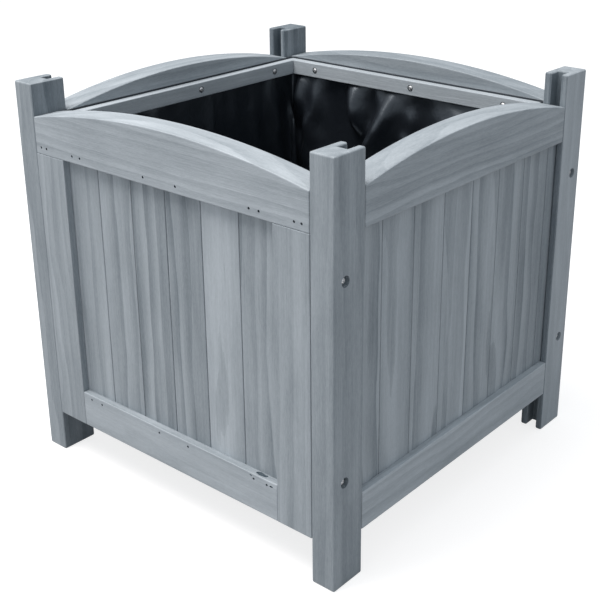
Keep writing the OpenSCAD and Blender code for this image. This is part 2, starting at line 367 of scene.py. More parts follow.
postWood = timberMaterial("postWood", ringWidth=15, ringDepth=0.28, streak=0.30, bump=0.5)
railWood = timberMaterial("railWood", ringWidth=11, ringDepth=0.32, streak=0.32, bump=0.5)
boardWood = timberMaterial("boardWood", ringWidth=21, ringDepth=0.46, streak=0.34, bump=0.5)
innerWood = timberMaterial("innerWood", ringWidth=11, ringDepth=0.20, streak=0.20, bump=0.6)
zincSteel = metalMaterial("zincSteel", light=(0.90, 0.91, 0.92, 1), dark=(0.60, 0.61, 0.63, 1),
                          roughLow=0.36, roughHigh=0.55, scale=420)
darkSteel = metalMaterial("darkSteel", light=(0.10, 0.10, 0.11, 1), dark=(0.03, 0.03, 0.03, 1),
                          roughLow=0.35, roughHigh=0.6, scale=600)
linerFilm = filmMaterial()
print("materials made")


def named(tree, name, kind="FLOAT_VECTOR"):
    return addNode(tree, "GeometryNodeInputNamedAttribute", {"Name": name}, data_type=kind).outputs[0]


def copiesNode(tree, points, part, **inputs):
    shape = addNode(tree, "GeometryNodeObjectInfo", {"Object": part}, transform_space="ORIGINAL")
    return addNode(tree, "GeometryNodeInstanceOnPoints",
                   {"Points": points, "Instance": shape.outputs["Geometry"], **inputs}).outputs[0]


def placeCopiesTree():
    # copies of a part stand on the given points, their z along the facing attribute
    tree, given, put = newTree("placeCopies", "GeometryNodeTree", (
        ("Points", "Geometry"), ("Part", "Object"), ("Material", "Material"), ("Seed", "Int")),
        (("Copies", "Geometry"),))
    towards = addNode(tree, "FunctionNodeAlignRotationToVector", {"Vector": named(tree, "facing")}, axis="Z")
    copies = copiesNode(tree, given["Points"], given["Part"], Rotation=towards.outputs[0])
    twist = addNode(tree, "FunctionNodeRandomValue", {2: 0.0, 3: 2 * math.pi, "Seed": given["Seed"]})
    angles = addNode(tree, "ShaderNodeCombineXYZ", {2: twist.outputs[1]})
    spun = addNode(tree, "GeometryNodeRotateInstances",
                   {"Instances": copies, "Rotation": angles.outputs[0], "Local Space": True})
    real = addNode(tree, "GeometryNodeRealizeInstances", {"Geometry": spun.outputs[0]})
    done = addNode(tree, "GeometryNodeSetMaterial",
                   {"Geometry": real.outputs[0], "Material": given["Material"]})
    feed(tree, put, {"Copies": done.outputs[0]})
    return tree


def boardWallTree():
    # boards side by side on the given points; kind says which of the three sections each one has
    tree, given, put = newTree("boardWall", "GeometryNodeTree", (
        ("Points", "Geometry"), ("First", "Object"), ("Middle", "Object"), ("Last", "Object"),
        ("Turn", "Float"), ("Material", "Material")), (("Boards", "Geometry"),))
    kind = named(tree, "kind", "INT")
    joined = addNode(tree, "GeometryNodeJoinGeometry")
    for number, label in enumerate(("First", "Middle", "Last")):
        same = addNode(tree, "FunctionNodeCompare", {2: kind, 3: number}, data_type="INT", operation="EQUAL")
        copies = copiesNode(tree, given["Points"], given[label], Selection=same.outputs[0])
        tree.links.new(copies, joined.inputs[0])
    real = addNode(tree, "GeometryNodeRealizeInstances", {"Geometry": joined.outputs[0]})
    moved = addNode(tree, "ShaderNodeVectorMath", {0: named(tree, "grain"), 1: named(tree, "shift")},
                    operation="ADD")
    stored = addNode(tree, "GeometryNodeStoreNamedAttribute",
                     {"Geometry": real.outputs[0], "Name": "grain", 3: moved.outputs[0]},
                     data_type="FLOAT_VECTOR", domain="POINT")
    angles = addNode(tree, "ShaderNodeCombineXYZ", {2: given["Turn"]})
    placed = addNode(tree, "GeometryNodeTransform",
                     {"Geometry": stored.outputs[0], "Rotation": angles.outputs[0]})
    done = addNode(tree, "GeometryNodeSetMaterial",
                   {"Geometry": placed.outputs[0], "Material": given["Material"]})
    feed(tree, put, {"Boards": done.outputs[0]})
    return tree


def archedRailTree():
    # a bar whose upper side is an arc of a circle, in x and z, thick along y
    tree, given, put = newTree("archedRail", "GeometryNodeTree", (
        ("Geometry", "Geometry"), ("Half Length", "Float"), ("End Height", "Float"), ("Rise", "Float"),
        ("Foot", "Float"), ("Outer Face", "Float"), ("Thickness", "Float"), ("Steps", "Int")),
        (("Rail", "Geometry"),))
    add, subtract, multiply, multiplyAdd, divide, root = arithmetic(tree)
    halfLength, rise = given["Half Length"], given["Rise"]
    grid = addNode(tree, "GeometryNodeMeshGrid", {
        "Size X": multiply(halfLength, 2), "Size Y": 1.0, "Vertices X": given["Steps"], "Vertices Y": 2})
    position = addNode(tree, "GeometryNodeInputPosition").outputs[0]
    place = addNode(tree, "ShaderNodeSeparateXYZ", {0: position}).outputs
    squares = add(multiply(halfLength, halfLength), multiply(rise, rise))
    radius = divide(squares, multiply(rise, 2))
    under = subtract(multiply(radius, radius), multiply(place[0], place[0]))
    height = add(subtract(root(under), radius), add(given["End Height"], rise))
    up = multiplyAdd(add(place[1], 0.5), height, given["Foot"])
    spot = addNode(tree, "ShaderNodeCombineXYZ", {0: place[0], 1: given["Outer Face"], 2: up})
    face = addNode(tree, "GeometryNodeSetPosition",
                   {"Geometry": grid.outputs["Mesh"], "Position": spot.outputs[0]})
    inward = addNode(tree, "ShaderNodeCombineXYZ", {1: given["Thickness"]})
    thick = addNode(tree, "GeometryNodeExtrudeMesh", {
        "Mesh": face.outputs[0], "Offset": inward.outputs[0], "Offset Scale": 1.0, "Individual": False},
        mode="FACES")
    both = addNode(tree, "GeometryNodeJoinGeometry", {0: thick.outputs[0]})
    tree.links.new(face.outputs[0], both.inputs[0])
    whole = addNode(tree, "GeometryNodeMergeByDistance", {"Geometry": both.outputs[0], "Distance": 1e-5})
    feed(tree, put, {"Rail": whole.outputs[0]})
    return tree


placeCopies = placeCopiesTree()
boardWall = boardWallTree()
archedRail = archedRailTree()


def pointObject(name, points, **attributes):
    mesh = bpy.data.meshes.new(name)
    mesh.from_pydata([tuple(p) for p in points], [], [])
    kinds = {"facing": ("FLOAT_VECTOR", "vector"), "shift": ("FLOAT_VECTOR", "vector"),
             "tone": ("FLOAT", "value"), "kind": ("INT", "value")}
    for label, values in attributes.items():
        dataType, field = kinds[label]
        layer = mesh.attributes.new(label, dataType, "POINT")
        for i, value in enumerate(values):
            setattr(layer.data[i], field, value)
    piece = bpy.data.objects.new(name, mesh)
    bpy.context.scene.collection.objects.link(piece)
    return piece


def copiesOf(name, part, spots, material, seed=1):  # spots are pairs of a place and a direction
    points = pointObject(name, [s[0] for s in spots], facing=[s[1] for s in spots])
    return runNodes(points, placeCopies, {"Part": part, "Material": material, "Seed": seed})


fasteners = {
    "postScrewRise": 0.117, "postScrewSunk": 0.006, "recessRadius": 0.006, "recessMouth": 0.0064,
    "battenScrewX": (-0.160, -0.012, 0.160),
    "cleatScrewX": (-0.130, 0.0, 0.130),
    "slatScrewX": 0.022, "slatScrewY": 0.204,
    "archNailX": (0.026, 0.136, 0.150, 0.198, 0.208), "archNailUp": 0.0085,
    "railNailX": (0.025, 0.132, 0.152), "railNailDown": 0.0065,
    "nailSunk": 0.0008, "nailDiameter": 0.0016,
}


def postScrewSpots():
    y = size["half"] - (size["half"] - size["wallIn"]) / 2
    middle = size["postTop"] / 2
    return [((sx * size["half"], sy * y, middle + sz * fasteners["postScrewRise"]), (sx, 0, 0))
            for sx in (-1, 1) for sy in (-1, 1) for sz in (-1, 1)]


def battenScrewSpots():
    middle = (size["battenFoot"] + size["battenTop"]) / 2
    return [(turned(turn) @ Vector((x, size["battenFace"], middle)), turned(turn) @ Vector((0, 1, 0)))
            for _, turn in walls for x in fasteners["battenScrewX"]]


def floorScrewSpots():
    low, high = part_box("floor_cleat_front")
    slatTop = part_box("floor_slat_1")[1].z
    spots = []
    for turn in (0, 180):
        spin = turned(turn)
        for x in fasteners["cleatScrewX"]:
            spots.append((spin @ Vector((x, high.y, (low.z + high.z) / 2)), spin @ Vector((0, 1, 0))))
        for i in range(1, 6):
            slatLow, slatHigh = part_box("floor_slat_%d" % i)
            for side in (-1, 1):
                x = (slatLow.x + slatHigh.x) / 2 + side * fasteners["slatScrewX"]
                spots.append((spin @ Vector((x, -fasteners["slatScrewY"], slatTop)), Vector((0, 0, 1))))
    return spots


def nailSpots():
    spots = []
    for turn in (0, 180):
        rows = ((fasteners["archNailX"], size["archFoot"] + fasteners["archNailUp"]),
                (fasteners["railNailX"], size["railTop"] - fasteners["railNailDown"]))
        for row, z in rows:
            for x in row:
                for side in (-1, 1):
                    spots.append((turned(turn) @ Vector((side * x, -size["half"], z)),
                                  turned(turn) @ Vector((0, -1, 0))))
    return spots


def revolved(name, profile, steps=24):  # profile is a list of radius and height, from the top down
    form = bmesh.new()
    rings = []
    for radius, z in profile:
        if radius == 0:
            rings.append([form.verts.new((0, 0, z))])
        else:
            rings.append([form.verts.new((radius * math.cos(2 * math.pi * k / steps),
                                          radius * math.sin(2 * math.pi * k / steps), z))
                          for k in range(steps)])
    for upper, lower in zip(rings, rings[1:]):
        for k in range(steps):
            j = (k + 1) % steps
            corners = [upper[k % len(upper)], lower[k % len(lower)],
                       lower[j % len(lower)], upper[j % len(upper)]]
            form.faces.new(list(dict.fromkeys(corners)))
    return newPiece(name, form)


def cutterCopies(name, profile, spots, steps):  # the same hole at every spot, as one cutter
    tool = revolved(name, profile, steps)
    made = copiesOf(name + "Copies", tool, spots, None)
    removeObject(tool)
    return made


def nailDents():  # the mouth of each nail hole, a little wider than the nail
    radius = fasteners["nailDiameter"] / 2
    return cutterCopies("nailDent", [(0, 0.001), (radius * 2, 0.001), (radius * 1.95, -0.0003),
                                     (radius * 1.8, -0.0010), (radius * 1.5, -0.0030), (0, -0.0030)],
                        nailSpots(), 12)


def countersinks(spots):  # the holes of the small screws, a little wider than their heads
    return cutterCopies("countersink", [(0, 0.001), (0.0045, 0.001), (0.0044, -0.0012),
                                        (0.0036, -0.0026), (0.0019, -0.004), (0, -0.004)], spots, 20)


tones = {  # how light each piece is, from -1 to 1
    "post_front_left": -0.4, "post_front_right": -0.6, "post_back_right": 0.5, "post_back_left": -0.9,
    "arch_rail_front": 0.5, "arch_rail_right": 0.0, "arch_rail_back": -0.6, "arch_rail_left": -0.2,
    "bottom_rail_front": 0.8, "bottom_rail_right": 1.0, "bottom_rail_back": 0.0, "bottom_rail_left": 0.0,
    "stile_front_left": 0.1, "stile_front_right": 0.25, "stile_back_left": 0.1, "stile_back_right": -0.1,
    "batten_left": 0.6, "batten_back": 0.7,
}


dentReach = 0.0018  # a little past the mouths of the nail holes


def inHole(centre, spots, radius):  # whether a face lies on the wall or the floor of a hole
    for place, facing in spots:
        away = centre - Vector(place)
        down = -away.dot(Vector(facing))
        if 0.0002 < down < 0.01 and (away + down * Vector(facing)).length < radius:
            return True
    return False


def makeTimber(piece, along, material, ease, cutters=(), soaked=lambda centre, normal: 0):
    node = piece.name.removesuffix("_wood")
    if ease:
        easeEdges(piece, ease)
    if cutters:
        combine(piece, "DIFFERENCE", *cutters)
    smoothShade(piece)
    chance = random.Random(node)
    shift = [chance.uniform(-3, 3), chance.uniform(0.02, 0.07) * chance.choice((-1, 1)),
             chance.uniform(0.02, 0.06) * chance.choice((-1, 1))]
    storeGrain(piece.data, along, shift)
    storeTone(piece.data, tones.get(node, chance.uniform(-0.3, 0.3)), soaked)
    return finish(piece, [node], material)


posts = {
    "ease": 0.0022, "grooveDepth": 0.018,
    # how much darker the faces are: painted shade in the screw recesses; the top end, the side with the
    # groove and the inward side darker
    "recessShade": 1.5, "inwardShare": 0.68,
    "topDarkening": {"front_right": 0.3, "back_right": 1.1, "back_left": 1.5, "front_left": 1.0},
    "grooveSideDarkening": {"front_right": 2.2, "back_right": 2.2, "back_left": 1.1, "front_left": 2.2},
}


def makePosts():
    middle = size["half"] - (size["half"] - size["postInX"]) / 2
    inner = size["postInY"] + posts["grooveDepth"]
    left, right = middle - grooveWidth / 2, middle + grooveWidth / 2
    outline = [(size["postInX"], size["half"]), (size["half"], size["half"]),
               (size["half"], size["postInY"]), (right, size["postInY"]), (right, inner),
               (left, inner), (left, size["postInY"]), (size["postInX"], size["postInY"])]
    corners = {"front_right": (1, -1), "back_right": (1, 1), "back_left": (-1, 1), "front_left": (-1, -1)}
    hole, mouth, sunk = (fasteners[key] for key in ("recessRadius", "recessMouth", "postScrewSunk"))
    recess = [(0, 0.002), (mouth, 0.002), (mouth, -0.0002), (hole, -0.0008), (hole, -sunk),
              (0, -sunk - 0.0002)]
    for corner, (sx, sy) in corners.items():
        spots = [s for s in postScrewSpots() if s[0][0] * sx > 0 and s[0][1] * sy > 0]
        piece = extruded("post_%s_wood" % corner, [(x * sx, y * sy) for x, y in outline], 0, size["postTop"])

        def soaked(centre, normal):
            if normal.z > 0.9:
                return posts["topDarkening"][corner]
            # painted shade in the screw recesses
            if inHole(centre, spots, mouth + 0.0002):
                return posts["recessShade"]
            # painted shade inside the groove; the side with the groove and the inward side are darker too
            inGroove = abs(abs(centre.x) - middle) < grooveWidth / 2 + 1e-4 and abs(centre.y) < inner
            if normal.y * sy < -0.5 or inGroove:
                return posts["grooveSideDarkening"][corner]
            return posts["inwardShare"] * posts["grooveSideDarkening"][corner] * (normal.x * sx < -0.9)

        makeTimber(piece, "z", postWood, posts["ease"],
                   [cutterCopies("recess", recess, spots, 32)], soaked)
    print("posts made")


arches = {"endHeight": 0.045, "ease": 0.0015, "steps": 65, "tongueTall": 0.040,
          # the darkening in the nail dents, on the top and on the underside is painted shade
          "nailHoleShade": 4.0, "topDarkening": 0.6, "footShade": 0.6}


def archOf(name, halfLength):
    return outward(runNodes(newPiece(name, bmesh.new()), archedRail, {
        "Half Length": halfLength, "End Height": arches["endHeight"],
        "Rise": size["crown"] - size["archFoot"] - arches["endHeight"], "Foot": size["archFoot"],
        "Outer Face": -size["half"], "Thickness": size["half"] - size["wallIn"], "Steps": arches["steps"]}))


def grooveTool(halfLength, low, high):
    y = size["boardLine"]
    return block("groove", (-halfLength, y - grooveWidth / 2, low), (halfLength, y + grooveWidth / 2, high))


def tongueTool(low, high, foot, top):
    y, half = size["boardLine"], grooveWidth / 2 - 0.0002
    return block("tongue", (low, y - half, foot), (high, y + half, top))


def makeArches():
    for name, turn in walls:
        side = acrossWay[name] == "y"
        piece = archOf("arch_rail_%s_wood" % name, size["postInY"] if side else size["postInX"])
        easeEdges(piece, arches["ease"])
        if side:
            end = size["tongueEnd"]
            top = size["archFoot"] + arches["tongueTall"]
            combine(piece, "UNION", tongueTool(-end, end, size["archFoot"], top))
        groove = grooveTool(size["half"], size["archFoot"] - past, size["archFoot"] + grooveDepth)
        combine(piece, "DIFFERENCE", groove)
        piece.data.transform(turned(turn))
        cutters = [countersinks(battenPilots())]
        if not side:
            cutters.append(nailDents())
        # painted shade in the nail dents, on the top and on the underside
        makeTimber(piece, acrossWay[name], railWood, 0, cutters,
                   lambda centre, normal: (arches["nailHoleShade"] * inHole(centre, nailSpots(), dentReach)
                                           + arches["topDarkening"] * (normal.z > 0.8)
                                           + arches["footShade"] * (normal.z < -0.9)))
    print("arched rails made")


def battenPilots():  # the batten screws go on into the arched rails behind the battens
    depth = size["battenFace"] + size["wallIn"]
    return [(place + facing * -depth, facing) for place, facing in battenScrewSpots()]


bottomRails = {
    # the darkening of the holes and the top is painted shade: in the nail holes and chips, and on the top of
    # the front rail
    "ease": 0.0012, "tongueBelow": 0.003, "tongueAbove": 0.004, "hollowShade": 5.0, "topDarkening": 1.3,
    # splinters missing from the edge of the front rail: their places and half sizes
    "chips": (((0.1400, -0.2446, 0.1056), (0.0085, 0.0032, 0.0030)),
              ((0.1280, -0.2504, 0.1015), (0.0020, 0.0012, 0.0010)),
              ((0.1590, -0.2500, 0.0990), (0.0026, 0.0011, 0.0012))),
}


def chipTool(place, reach):
    form = bmesh.new()
    matrix = Matrix.Translation(place) @ Matrix.Diagonal((*reach, 1))
    bmesh.ops.create_icosphere(form, subdivisions=2, radius=1, matrix=matrix)
    chance = random.Random(str(place))
    for vertex in form.verts:
        vertex.co += Vector([reach[k] * chance.uniform(-0.18, 0.18) for k in range(3)])
    return newPiece("chip", form)


def makeBottomRails():
    for name, turn in walls:
        side = acrossWay[name] == "y"
        body = size["postInY"] if side else size["stileIn"]
        end = size["sideRailEnd"] if side else size["railEnd"]
        piece = block("bottom_rail_%s_wood" % name, (-body, -size["half"], size["railFoot"]),
                      (body, -size["wallIn"], size["railTop"]))
        chips = bottomRails["chips"] if name == "front" else ()
        easeEdges(piece, bottomRails["ease"])
        combine(piece, "UNION", tongueTool(-end, end, size["railFoot"] + bottomRails["tongueAbove"],
                                           size["railTop"] - bottomRails["tongueBelow"]))
        groove = grooveTool(size["half"], size["railTop"] - grooveDepth, size["railTop"] + past)
        combine(piece, "DIFFERENCE", groove)
        piece.data.transform(turned(turn))
        cutters = [] if side else [nailDents()]
        cutters += [chipTool(*chip) for chip in chips]

        def soaked(centre, normal):  # painted shade in the nail holes and chips and on the top of the front rail
            chipped = any((centre - Vector(place)).length < max(reach) and max(map(abs, normal)) < 0.98
                          for place, reach in chips)
            if chipped or inHole(centre, nailSpots(), dentReach):
                return bottomRails["hollowShade"]
            return bottomRails["topDarkening"] * (normal.z > 0.8 and not side)

        makeTimber(piece, acrossWay[name], railWood, 0, cutters, soaked)
    print("bottom rails made")


stiles = {"ease": 0.0009, "edgeShade": 0.6}


def makeStiles():
    for name, turn, sx in (("front_right", 0, 1), ("front_left", 0, -1),
                           ("back_left", 180, 1), ("back_right", 180, -1)):
        low, high = sorted((sx * size["stileIn"], sx * size["postInX"]))
        piece = block("stile_%s_wood" % name, (low, -size["half"], size["railFoot"]),
                      (high, -size["wallIn"], size["archFoot"]))
        easeEdges(piece, stiles["ease"])
        combine(piece, "UNION", tongueTool(low, high, size["archFoot"] - past, size["boardTop"]))
        inner, depth = sorted((sx * (size["stileIn"] - past), sx * (size["stileIn"] + grooveDepth)))
        y = size["boardLine"]
        combine(piece, "DIFFERENCE", block("groove", (inner, y - grooveWidth / 2, 0),
                                           (depth, y + grooveWidth / 2, size["postTop"])))
        piece.data.transform(turned(turn))
        edge = turned(turn) @ Vector((-sx, 0, 0))
        # painted shade on the stile's side face beside the boards
        makeTimber(piece, "z", railWood, 0, (),
                   lambda centre, normal: stiles["edgeShade"] * (normal.dot(edge) > 0.9))
    print("stiles made")


boards = {
    "gap": 0.0008, "ease": 0.0010, "tongue": 0.0044, "tongueLength": 0.0046, "edgeGap": 0.0003,
    "frontTones": (0.3, -0.1, -0.5, -0.6, 0.7, -0.1),
    "rightTones": (-0.3, 0.2, 0.3, 0.4, 0.1, -0.1, -0.4, -0.6),
}


def boardOutline(width, groove, tongue):
    half, ease = size["boardThick"] / 2, boards["ease"]
    left, right = boards["gap"] / 2, width - boards["gap"] / 2
    tip, slit = boards["tongue"] / 2, boards["tongue"] / 2 + boards["edgeGap"]
    inner = left + boards["tongueLength"] + 0.0006
    outline = [(left, -half + ease), (left + 0.3 * ease, -half + 0.3 * ease), (left + ease, -half),
               (right - ease, -half), (right - 0.3 * ease, -half + 0.3 * ease), (right, -half + ease)]
    if tongue:
        end = right + boards["tongueLength"]
        outline += [(right, -tip), (end - 0.0005, -tip), (end, -tip + 0.0005),
                    (end, tip - 0.0005), (end - 0.0005, tip), (right, tip)]
    outline += [(right, half - ease), (right - ease, half), (left + ease, half), (left, half - ease)]
    if groove:
        outline += [(left, slit), (inner, slit), (inner, -slit), (left, -slit)]
    return outline


def boardPart(label, width, groove, tongue):
    outline = [(x, y + size["boardLine"]) for x, y in boardOutline(width, groove, tongue)]
    part = extruded(label, outline, size["boardFoot"], size["boardTop"])
    smoothShade(part, 50)
    storeGrain(part.data, "z")
    return part


def makeBoards():
    pitch = size["pitch"]
    for name, turn in walls:
        side = acrossWay[name] == "y"
        count = 8 if side else 6
        first = (size["sideFirst"] if side else size["frontFirst"]) - boards["gap"] / 2
        lastWidth = size["sideLast"] + boards["gap"] / 2 - first - (count - 1) * pitch if side else pitch
        parts = [boardPart("firstBoard", pitch, False, True), boardPart("middleBoard", pitch, True, True),
                 boardPart("lastBoard", lastWidth, True, False)]
        chance = random.Random("boards of the " + name)
        shown = boards.get(name + "Tones") or [chance.uniform(-0.35, 0.3) for _ in range(count)]
        shifts = [(chance.uniform(-3, 3), chance.uniform(0.01, 0.09) * chance.choice((-1, 1)),
                   0.234 + chance.uniform(0.008, 0.05) * chance.choice((-1, 1))) for _ in range(count)]
        points = pointObject("boards_%s_wood" % name, [(first + i * pitch, 0, 0) for i in range(count)],
                             kind=[0] + [1] * (count - 2) + [2], tone=shown, shift=shifts)
        made = runNodes(points, boardWall, {
            "First": parts[0], "Middle": parts[1], "Last": parts[2],
            "Turn": math.radians(turn), "Material": boardWood})
        for part in parts:
            removeObject(part)
        finish(made, ["board_%s_%d" % (name, i + 1) for i in range(count)], boardWood)
    print("boards made")


# the darkening of the holes is painted shade in the countersinks of the batten screws
inner = {"battenEase": 0.0012, "cleatEase": 0.001, "slatEase": 0.0015, "hollowShade": 3.6, "holeReach": 0.0046}


def makeInnerTimber():
    for name, turn in walls:
        low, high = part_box("batten_" + name)
        piece = block("batten_%s_wood" % name, low, high)
        # painted shade in the countersinks of the batten screws
        makeTimber(piece, acrossWay[name], innerWood, inner["battenEase"],
                   [countersinks(battenScrewSpots())],
                   lambda centre, normal: (inner["hollowShade"]
                                           * inHole(centre, battenScrewSpots(), inner["holeReach"])))
    floorPieces = [("floor_cleat_" + side, "x", inner["cleatEase"]) for side in ("front", "back")]
    floorPieces += [("floor_slat_%d" % i, "y", inner["slatEase"]) for i in range(1, 6)]
    for name, along, ease in floorPieces:
        piece = block(name + "_wood", *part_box(name))
        makeTimber(piece, along, innerWood, ease, [countersinks(floorScrewSpots())])
    print("battens, cleats and slats made")


makePosts()
makeArches()
makeBottomRails()
makeStiles()
makeBoards()
makeInnerTimber()


def crossArm(turn, width, length, depth):  # one arm of the driver's cross, tapered downwards
    form = bmesh.new()
    half = length / 2
    arm = [(-half, 0.002), (half, 0.002), (half, -depth * 0.4), (half * 0.35, -depth),
           (-half * 0.35, -depth), (-half, -depth * 0.4)]
    sides = [[form.verts.new(turned(turn) @ Vector((x, s * width / 2, z))) for x, z in arm]
             for s in (-1, 1)]
    form.faces.new(sides[0])
    form.faces.new(sides[1])
    for i in range(len(arm)):
        j = (i + 1) % len(arm)
        form.faces.new((sides[0][i], sides[0][j], sides[1][j], sides[1][i]))
    return newPiece("crossArm", form)


def threadedShank(name, radius, top, length, pitch, depth, steps=12):
    form = bmesh.new()
    rows = int(length / pitch * 5)
    grid = []
    for i in range(rows + 1):
        down = length * i / rows
        taper = min(1, (length - down) / (3 * radius) + 0.12)
        turnsDown = down / pitch
        ring = []
        for k in range(steps):
            wave = abs((turnsDown - k / steps) % 1 - 0.5) * 2
            crest = depth * max(0, 1 - 2.5 * (1 - wave)) * min(1, down / (2 * pitch)) * taper
            angle = 2 * math.pi * k / steps
            r = radius * taper + crest
            ring.append(form.verts.new((r * math.cos(angle), r * math.sin(angle), top - down)))
        grid.append(ring)
    for upper, lower in zip(grid, grid[1:]):
        for k in range(steps):
            j = (k + 1) % steps
            form.faces.new((upper[k], lower[k], lower[j], upper[j]))
    form.faces.new(grid[0])
    form.faces.new(grid[-1])
    return newPiece(name, form)


def screwPart(name, head, cross, shank):
    part = revolved(name, head, 28)
    combine(part, "DIFFERENCE", crossArm(0, *cross))
    combine(part, "DIFFERENCE", crossArm(90, *cross))
    combine(part, "UNION", threadedShank("shank", *shank))
    return smoothShade(part, 35)


def dome(radius, low, high, steps=5):  # a low dome from its top to its rim
    rise = high - low
    curve = (radius * radius + rise * rise) / (2 * rise)
    points = []
    for i in range(steps + 1):
        r = radius * i / steps
        points.append((r, high - curve + math.sqrt(curve * curve - r * r)))
    return points


# cross is the width, length and depth of the driver's cross,
# and shank is the radius, top, length, pitch and depth of the thread
postScrew = {"radius": 0.0044, "rim": 0.0046, "rimUp": 0.0009, "domeUp": 0.0012, "crownUp": 0.0036,
             "cross": (0.0015, 0.0050, 0.0044), "shank": (0.0020, -0.0058, 0.0578, 0.0025, 0.0005)}
smallScrew = {"radius": 0.0034, "dome": -0.0002, "crown": 0.0010, "cone": (0.0017, -0.0022), "rim": -0.0006,
              "cross": (0.0011, 0.0038, 0.0014), "shank": (0.00135, -0.0020, 0.0258, 0.0017, 0.0004)}


def makeFasteners():
    sunk, radius, rim = fasteners["postScrewSunk"], postScrew["radius"], postScrew["rim"]
    head = dome(radius, postScrew["domeUp"] - sunk, postScrew["crownUp"] - sunk)
    head += [(rim, postScrew["rimUp"] - sunk), (rim, -sunk), (0, -sunk)]
    postPart = screwPart("postScrew", head, postScrew["cross"], postScrew["shank"])

    radius, cone = smallScrew["radius"], smallScrew["cone"]
    head = dome(radius, smallScrew["dome"], smallScrew["crown"])
    head += [(radius, smallScrew["rim"]), cone, (0, cone[1])]
    smallPart = screwPart("smallScrew", head, smallScrew["cross"], smallScrew["shank"])

    sunk, radius = fasteners["nailSunk"], fasteners["nailDiameter"] / 2 - 0.00005
    pin = revolved("pinNail", [(0, -sunk), (radius * 0.8, -sunk - 0.0001), (radius, -sunk - 0.0003),
                               (radius, -sunk - 0.019), (0, -sunk - 0.0217)], 12)
    smoothShade(pin, 40)
    for name, part, spots, slot, metal, seed in (
            ("post_screws_zinc", postPart, postScrewSpots(), "post_screw_steel", zincSteel, 3),
            ("batten_screws_zinc", smallPart, battenScrewSpots(), "small_screw_steel", zincSteel, 5),
            ("floor_screws_zinc", smallPart, floorScrewSpots(), "small_screw_steel", zincSteel, 8),
            ("rail_nails_dark", pin, nailSpots(), "nail_steel", darkSteel, 2)):
        finish(copiesOf(name, part, spots, metal, seed), [name.rsplit("_", 1)[0]], metal)
    for part in (postPart, smallPart, pin):
        removeObject(part)
    print("screws and nails made")


makeFasteners()


liner = {
    "cells": 44, "thick": 0.0004, "slack": 0.02, "frames": 26, "pleat": 0.0022, "mostDepth": 0.05,
    "cornerRound": 0.045, "slackCornerRound": 0.095, "hangOver": 0.08, "bagGap": 0.0003,
    "clear": 0.0015, "drainRadius": 0.005, "drainPlaces": (-0.110, 0.0, 0.110),
    "cloth": {"quality": 8, "mass": 0.08, "air_damping": 3, "tension_stiffness": 25,
              "compression_stiffness": 25, "shear_stiffness": 8, "bending_stiffness": 0.12,
              "bending_damping": 1},
    # folds as seen from outside each wall: the crest's ends along the wall and up, the width, the depth;
    # the other two walls get random ones
    "backFolds": (
        (0.192, 0.442, 0.208, 0.350, 0.030, 0.034), (0.160, 0.442, 0.188, 0.300, 0.020, 0.028),
        (0.097, 0.442, 0.086, 0.375, 0.030, 0.032), (0.050, 0.442, 0.042, 0.390, 0.014, 0.018),
        (0.014, 0.444, 0.074, 0.310, 0.044, 0.050), (-0.018, 0.442, 0.018, 0.290, 0.016, 0.024),
        (-0.014, 0.390, -0.208, 0.394, 0.046, 0.030), (-0.110, 0.395, -0.150, 0.300, 0.020, 0.016)),
    "leftFolds": (
        (0.150, 0.440, 0.165, 0.330, 0.024, 0.010), (0.060, 0.440, 0.085, 0.350, 0.026, 0.008),
        (-0.040, 0.440, -0.020, 0.300, 0.030, 0.007), (-0.150, 0.440, -0.175, 0.310, 0.026, 0.012)),
}


def foldDepth(along, up, folds):  # how far one wall of the bag hangs inwards at a place
    depth = 0
    for startX, startZ, endX, endZ, halfWidth, deep in folds:
        run = Vector((endX - startX, endZ - startZ))
        away = Vector((along - startX, up - startZ))
        t = away.dot(run) / run.length_squared
        if 0 < t < 1.25:
            side = (away.x * run.y - away.y * run.x) / run.length
            reachOut = halfWidth * (1.1 - 0.4 * t) * (1.0 if side > 0 else -0.4)
            crest = max(0, 1 - side / reachOut)
            depth = max(depth, deep * crest * math.sin(math.pi * t / 1.25))
    return depth


def randomFolds(name):
    chance = random.Random("folds of the " + name)
    folds = []
    for place in (-0.16, -0.09, -0.01, 0.07, 0.15):
        start = place + chance.uniform(-0.02, 0.02)
        folds.append((start, 0.436, start + chance.uniform(-0.05, 0.05), chance.uniform(0.28, 0.37),
                      chance.uniform(0.014, 0.026), chance.uniform(0.008, 0.02)))
    return folds


